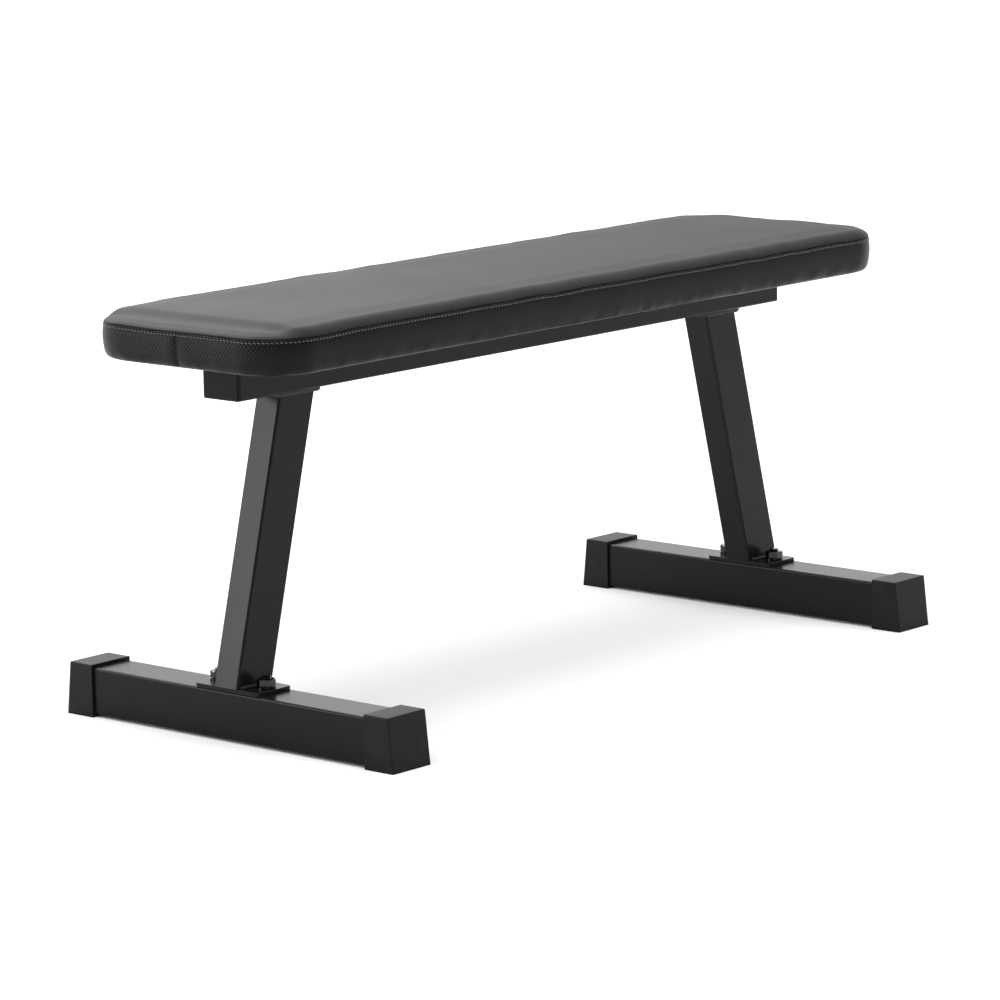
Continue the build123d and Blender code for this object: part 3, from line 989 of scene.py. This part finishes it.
def makeTopPanel(material):
    bm = roundedGrid(topPanel["gridInset"], topPanel["cell"])
    for v in bm.verts:
        v.co.z = seat["seamZ"] + topHeight(v.co.x, v.co.y)
    edges = [e for e in bm.edges if e.is_boundary]
    last = topPanel["gridInset"]
    for inset, height in topPanel["edge"]:
        edges = growRing(bm, edges, last - inset * mm, seat["seamZ"] + height * mm)
        last = inset * mm
    for v in bm.verts:
        height = v.co.z - seat["seamZ"]
        if insetFromEdge(v.co.x, v.co.y) < topPanel["gridInset"] - 0.1 * mm:
            v.co.z = seat["seamZ"] + height * endShare(v.co.x)
        v.co.z += seamPull(v.co.x, v.co.y) + edgePucker(v.co.x, v.co.y, height)
    piece = objectFromBmesh(bm, "seatTopPanel", [material])
    addModifier(piece, "SOLIDIFY", thickness=seat["vinylThickness"], offset=-1, use_even_offset=True)
    addModifier(piece, "SUBSURF", levels=1, render_levels=1)
    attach(piece, "root")
    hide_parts("seat_cover_top")


foamCore = {
    "cell": 9 * mm,
    "skin": 2.2 * mm,  # how far the foam's top lies under the vinyl's outside
    "boardGap": 0.1 * mm,
    "pullTo": 4 * mm,  # under the seam, how far down the foam follows the seam's shift
    # inset and height from the seat's top of each ring, and the last two lie on the board
    "rings": [(8.6, -3.6), (5.2, -7.2), (3.4, -11.5), (2.6, -18), (2.8, -24), (4.0, None), (30, None)],
}


def makeFoamCore(material):
    # the foam between the board and the vinyl, closed all round
    bm = roundedGrid(topPanel["gridInset"], foamCore["cell"])
    for v in bm.verts:
        v.co.z = seat["seamZ"] + topHeight(v.co.x, v.co.y) - foamCore["skin"]
    edges = [e for e in bm.edges if e.is_boundary]
    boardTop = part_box("seat_board")[1][2]
    last = topPanel["gridInset"]
    for inset, height in foamCore["rings"]:
        z = boardTop + foamCore["boardGap"] if height is None else seat["topZ"] + height * mm
        edges = growRing(bm, edges, last - inset * mm, z)
        last = inset * mm
    bmesh.ops.holes_fill(bm, edges=edges, sides=0)
    for v in bm.verts:
        height = v.co.z - seat["seamZ"]
        if height > 0 and insetFromEdge(v.co.x, v.co.y) < topPanel["gridInset"] - 0.1 * mm:
            v.co.z = seat["seamZ"] + height * endShare(v.co.x) - foamCore["skin"]
        if height > -foamCore["pullTo"]:
            v.co.z += seamPull(v.co.x, v.co.y)
    piece = objectFromBmesh(bm, "seatFoamCore", [material])
    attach(piece, "root")
    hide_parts("seat_foam")


sideBand = {
    "cell": 3 * mm,
    # the join in the near end: a groove with a slight bow, the cloth standing up a little on each side of it
    "joinWidth": 2.4 * mm,
    "joinDepth": 1.6 * mm,
    "joinBow": 1.5 * mm,
    "joinHeight": 40 * mm,
    "joinTop": (1 * mm, 6 * mm),
    "joinBottom": (33 * mm, 38 * mm),
    "lip": 0.9 * mm,
    "lipPlace": 11 * mm,
    "lipWidth": 7 * mm,
    "joinLoops": (-3.0, -1.4, -0.5, 0, 0.5, 1.4, 3.0),  # mesh loops beside it
    # creases where the cloth is pulled round the bottom edge, and a slow sway all over
    "bottomCrease": 1.0 * mm,
    "creaseSpan": 22 * mm,
    "fineSpan": 9 * mm,
    "creaseFrom": (21 * mm, 35 * mm),
    "creaseTo": (4 * mm, 9.4 * mm),
    "lift": 1.0 * mm,
    "liftSpan": 30 * mm,
    "sway": 0.5 * mm,
    "swaySpan": 60 * mm,
    "seamFade": (4 * mm, 22 * mm),  # how far down the band follows the seam's shift
    # outward offset and height under the seam of each ring, from the turned-in seam edge down to the hem
    "rings": [
        (-4.5, 0.0), (-2.6, 0.0), (-1.5, 0.15), (-0.8, 0.55), (-0.4, 1.2), (-0.4, 1.6), (-0.7, 2.2),
        (-0.9, 2.8), (-0.9, 3.4), (-0.5, 4.2), (0.0, 6.5), (0.3, 11), (0.4, 15), (0.2, 19), (-0.2, 23),
        (-0.7, 26.5), (-1.3, 29.5), (-2.2, 32.2), (-3.5, 34.8), (-5.2, 36.7), (-7.2, 37.65), (-9.4, 37.85),
        (-14, 37.85), (-22, 37.85), (-32, 37.85),
    ],
}


def bandMove(x, y, z):
    # outward and upward shift of the band where the cloth is creased, pulled or joined
    drop = seat["seamZ"] - z
    turnedIn = smoothStep(*sideBand["creaseTo"], insetFromEdge(x, y))
    low = smoothStep(*sideBand["creaseFrom"], drop) * (1 - turnedIn)
    place = Vector((x, y, z * 0.35))  # the creases run up and down, longer than they are wide
    crease = noise.noise(place / sideBand["creaseSpan"]) + 0.5 * noise.noise(place / sideBand["fineSpan"])
    sway = noise.noise(Vector((x, y, z)) / sideBand["swaySpan"]) * sideBand["sway"]
    outward = crease * sideBand["bottomCrease"] * low + sway
    upward = noise.noise(place / sideBand["liftSpan"] + Vector((7, 3, 1))) * sideBand["lift"] * low
    if x < 0:
        bow = sideBand["joinBow"] * sin(drop / sideBand["joinHeight"] * pi)
        middle = (y - bow) / sideBand["joinWidth"]
        beside = (abs(y) - sideBand["lipPlace"]) / sideBand["lipWidth"]
        below = smoothStep(*sideBand["joinTop"], drop) * (1 - smoothStep(*sideBand["joinBottom"], drop))
        outward -= sideBand["joinDepth"] * below / (1 + middle ** 4)
        outward += sideBand["lip"] * below / (1 + beside ** 2)
    upward += seamShift(x, y) * (1 - smoothStep(*sideBand["seamFade"], drop))
    return outward, upward


def makeSideBand(material):
    start = -sideBand["rings"][0][0] * mm
    bm = roundedGrid(start, sideBand["cell"])
    bmesh.ops.delete(bm, geom=list(bm.faces), context="FACES_ONLY")
    bmesh.ops.delete(bm, geom=[e for e in bm.edges if not outlineEdge(e, start)], context="EDGES")
    bmesh.ops.delete(bm, geom=[v for v in bm.verts if not v.link_edges], context="VERTS")
    for v in bm.verts:
        v.co.z = seat["seamZ"] - sideBand["rings"][0][1] * mm
    edges = list(bm.edges)
    last = -start
    for outward, drop in sideBand["rings"][1:]:
        edges = growRing(bm, edges, outward * mm - last, seat["seamZ"] - drop * mm)
        last = outward * mm
    # extra loops for the join, which cross the far end too, where the middle one lets the cloth's map part
    for cut in sideBand["joinLoops"]:
        everything = list(bm.verts) + list(bm.edges) + list(bm.faces)
        bmesh.ops.bisect_plane(bm, geom=everything, plane_co=(0, cut * mm, 0), plane_no=(0, 1, 0))
    writeBandMap(bm)
    for v in bm.verts:
        outward, upward = bandMove(*v.co)
        v.co += outwardFromEdge(v.co.x, v.co.y) * outward
        v.co.z += upward
    piece = objectFromBmesh(bm, "seatSideBand", [material])
    addModifier(piece, "SOLIDIFY", thickness=seat["vinylThickness"], offset=-1, use_even_offset=True)
    addModifier(piece, "SUBSURF", levels=1, render_levels=1)
    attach(piece, "root")
    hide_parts("seat_cover_band")


def outlineEdge(edge, inset):
    # true for the edges that lie on the outline moved inwards by inset
    return all(abs(insetFromEdge(v.co.x, v.co.y) - inset) < 0.01 * mm for v in edge.verts)


def writeBandMap(bm):
    # a map in metres: across is the distance round the seat, and up is the way up the cloth
    layer = bm.loops.layers.uv.new("bandCloth")
    for face in bm.faces:
        side = 1 if face.calc_center_median().y > 0 else -1
        for loop in face.loops:
            x, y, z = loop.vert.co
            level = max(insetFromEdge(x, y), 0)
            loop[layer].uv = (side * alongEdge(x, y), z - level)


stitches = {
    "pitch": 4.6 * mm,
    "length": 3.3 * mm,
    "thickness": 1.1 * mm,
    "drop": 3.0 * mm,  # under the seam
    "sink": 0.6 * mm,
    "tilt": 8,  # degrees from level
}


def makeStitches(material):
    around = 4 * seat["quarter"]
    tilt = Matrix.Rotation(radians(stitches["tilt"]), 3, "Y")
    halfThickness = stitches["thickness"] / 2
    size = Matrix.Diagonal((stitches["length"] / 2, halfThickness, halfThickness, 1))
    count = round(around / stitches["pitch"])
    bm = bmesh.new()
    for i in range(count):
        point, out = edgePlace((i + 0.5) * around / count)
        along = Vector((0, 0, 1)).cross(out)
        point -= out * stitches["sink"]
        point.z = seat["seamZ"] - stitches["drop"] + seamShift(point.x, point.y)
        axes = Matrix((along, out, Vector((0, 0, 1)))).transposed() @ tilt
        placed = Matrix.Translation(point) @ axes.to_4x4() @ size
        bmesh.ops.create_uvsphere(bm, u_segments=6, v_segments=5, radius=1, matrix=placed)
    piece = objectFromBmesh(bm, "seatTopStitching", [material])
    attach(piece, "root")


def beadMesh(points, radii, closed, name):
    # a closed tube along the points, thicker and thinner by the radii
    curve = bpy.data.curves.new(name, "CURVE")
    curve.dimensions = "3D"
    curve.bevel_depth = 1.0
    curve.bevel_resolution = 3
    curve.use_fill_caps = True
    spline = curve.splines.new("POLY")
    spline.points.add(len(points) - 1)
    for point, place, radius in zip(spline.points, points, radii):
        point.co = (*place, 1)
        point.radius = radius
    spline.use_cyclic_u = closed
    carrier = bpy.data.objects.new(name, curve)
    bpy.context.scene.collection.objects.link(carrier)
    bpy.context.view_layer.update()
    finished = carrier.evaluated_get(bpy.context.evaluated_depsgraph_get())
    mesh = bpy.data.meshes.new_from_object(finished)
    bpy.data.objects.remove(carrier)
    bpy.data.curves.remove(curve)
    return mesh


dustCover = {
    "inset": 10 * mm,
    "cell": 6 * mm,
    "thickness": 0.8 * mm,
    "hem": 32 * mm,
    "sag": 0.5 * mm,
    "sagSpan": 45 * mm,
    "fineSpan": 17 * mm,
    "besideBeam": 25 * mm,  # free to sag from here out from the beam
    "besideStaples": (12 * mm, 60 * mm),
}


def makeDustCover(material):
    # held by the staples over the hem, and pressed flat on the board where the beam crosses it
    low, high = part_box("seat_dust_cover")
    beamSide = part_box("main_beam")[1][1]
    bm = roundedGrid(dustCover["inset"], dustCover["cell"])
    middleZ = high[2] - dustCover["thickness"]
    for v in bm.verts:
        inset = insetFromEdge(v.co.x, v.co.y)
        step = smoothStep(dustCover["hem"] - 2 * mm, dustCover["hem"] + 5 * mm, inset)
        free = smoothStep(beamSide, beamSide + dustCover["besideBeam"], abs(v.co.y))
        free *= smoothStep(*dustCover["besideStaples"], inset)
        wave = noise.noise(v.co / dustCover["sagSpan"]) + 0.5 * noise.noise(v.co / dustCover["fineSpan"])
        v.co.z = low[2] + (middleZ - low[2]) * step - dustCover["sag"] * free * (0.6 + 0.6 * wave)
    piece = objectFromBmesh(bm, "seatDustCoverCloth", [material])
    facing = piece.data.polygons[0].normal.z
    addModifier(piece, "SOLIDIFY", thickness=dustCover["thickness"], offset=1 if facing > 0 else -1)
    addModifier(piece, "SUBSURF", levels=1, render_levels=1)
    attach(piece, "root")
    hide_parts("seat_dust_cover")


weld = {
    "radius": 3.1 * mm,
    "baseShare": 0.65,  # the base beads are this much thinner
    # the bead's middle, from the sides and from the top or bottom of the plain weld it stands for
    "topInset": 4.6 * mm,
    "topDrop": 1.4 * mm,
    "baseInset": 3.4 * mm,
    "baseRise": 0.9 * mm,
    "step": 0.7 * mm,  # spacing of the bead's points
    "ripple": 2.4 * mm,
    "swell": 0.10,
    "lumps": 0.15,
    "lumpSpan": 6 * mm,
    "wander": 0.6 * mm,
    "wanderSpan": 5 * mm,
}


def beadPath(corners, closed):
    # points every step along straight runs, wandering a little as a hand-laid bead does
    points, radii = [], []
    runs = list(zip(corners, corners[1:] + corners[:1])) if closed else list(zip(corners, corners[1:]))
    for start, end in runs:
        length = (end - start).length
        count = max(2, round(length / weld["step"]))
        for i in range(count):
            place = start.lerp(end, i / count)
            shake = noise.noise_vector(place / weld["wanderSpan"]) * weld["wander"]
            points.append(place + shake)
            phase = (place.x + place.y * 1.3) / weld["ripple"] * 2 * pi
            lump = weld["lumps"] * noise.noise(place / weld["lumpSpan"])
            radii.append(weld["radius"] * (1 + weld["swell"] * sin(phase) + lump))
    return points, radii


def makeTopWeld(end, material):
    low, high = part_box(f"leg_top_weld_{end}")
    inset = weld["topInset"]
    z = high[2] - weld["topDrop"]
    corners = [
        Vector((low[0] + inset, low[1] + inset, z)),
        Vector((high[0] - inset, low[1] + inset, z)),
        Vector((high[0] - inset, high[1] - inset, z)),
        Vector((low[0] + inset, high[1] - inset, z)),
    ]
    points, radii = beadPath(corners, True)
    name = f"legTopWeld_{end}"
    mesh = beadMesh(points, radii, True, name)
    finishBead(mesh, name, material, f"leg_top_weld_{end}")


def makeBaseWeld(end, material):
    low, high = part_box(f"leg_base_weld_{end}")
    name = f"legBaseWeld_{end}"
    bm = bmesh.new()
    for side in (-1, 1):
        y = side * (high[1] - weld["baseInset"])
        z = low[2] + weld["baseRise"]
        corners = [Vector((low[0] + mm, y, z)), Vector((high[0] - mm, y, z))]
        points, radii = beadPath(corners, False)
        mesh = beadMesh(points, [r * weld["baseShare"] for r in radii], False, "bead")
        bm.from_mesh(mesh)
        bpy.data.meshes.remove(mesh)
    mesh = bpy.data.meshes.new(name)
    bm.to_mesh(mesh)
    bm.free()
    finishBead(mesh, name, material, f"leg_base_weld_{end}")


def finishBead(mesh, name, material, node):
    mesh.materials.clear()
    mesh.materials.append(material)
    mesh.shade_smooth()
    mesh.name = name
    piece = bpy.data.objects.new(name, mesh)
    bpy.context.scene.collection.objects.link(piece)
    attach(piece, "root")
    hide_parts(node)


def coatNodes(material, *names):
    for name in names:
        mesh = nodes[name].data
        mesh.materials.clear()
        mesh.materials.append(material)


print("camera, floor and light")
makeCamera()
makeFloor()
makeLights()
makeWorld()

print("materials")
powderCoat = powderCoatMaterial()
rubber = rubberMaterial()
fastener = fastenerMaterial()
zinc = zincMaterial()
plug = plugMaterial()
weldBead = weldMaterial()
coatNodes(powderCoat, "main_beam")
coatNodes(zinc, "tee_nuts", "cover_staples")
coatNodes(fastener, "seat_bolts", "seat_bolt_washers")
coatNodes(plywoodMaterial(), "seat_board")
for end in ("front", "rear"):
    coatNodes(powderCoat, f"leg_{end}", f"base_plate_{end}", f"foot_tube_{end}")
    coatNodes(fastener, f"foot_bolts_{end}", f"foot_nuts_{end}", f"foot_washers_{end}")
    coatNodes(plug, f"beam_end_plug_{end}")
    coatNodes(rubber, f"foot_cap_{end}_left", f"foot_cap_{end}_right")

print("seat")
makeTopPanel(topVinylMaterial())
makeSideBand(bandVinylMaterial())
makeStitches(threadMaterial())
makeFoamCore(foamMaterial())
makeDustCover(nonWovenMaterial())

print("welds")
for end in ("front", "rear"):
    makeTopWeld(end, weldBead)
    makeBaseWeld(end, weldBead)

print("finished")
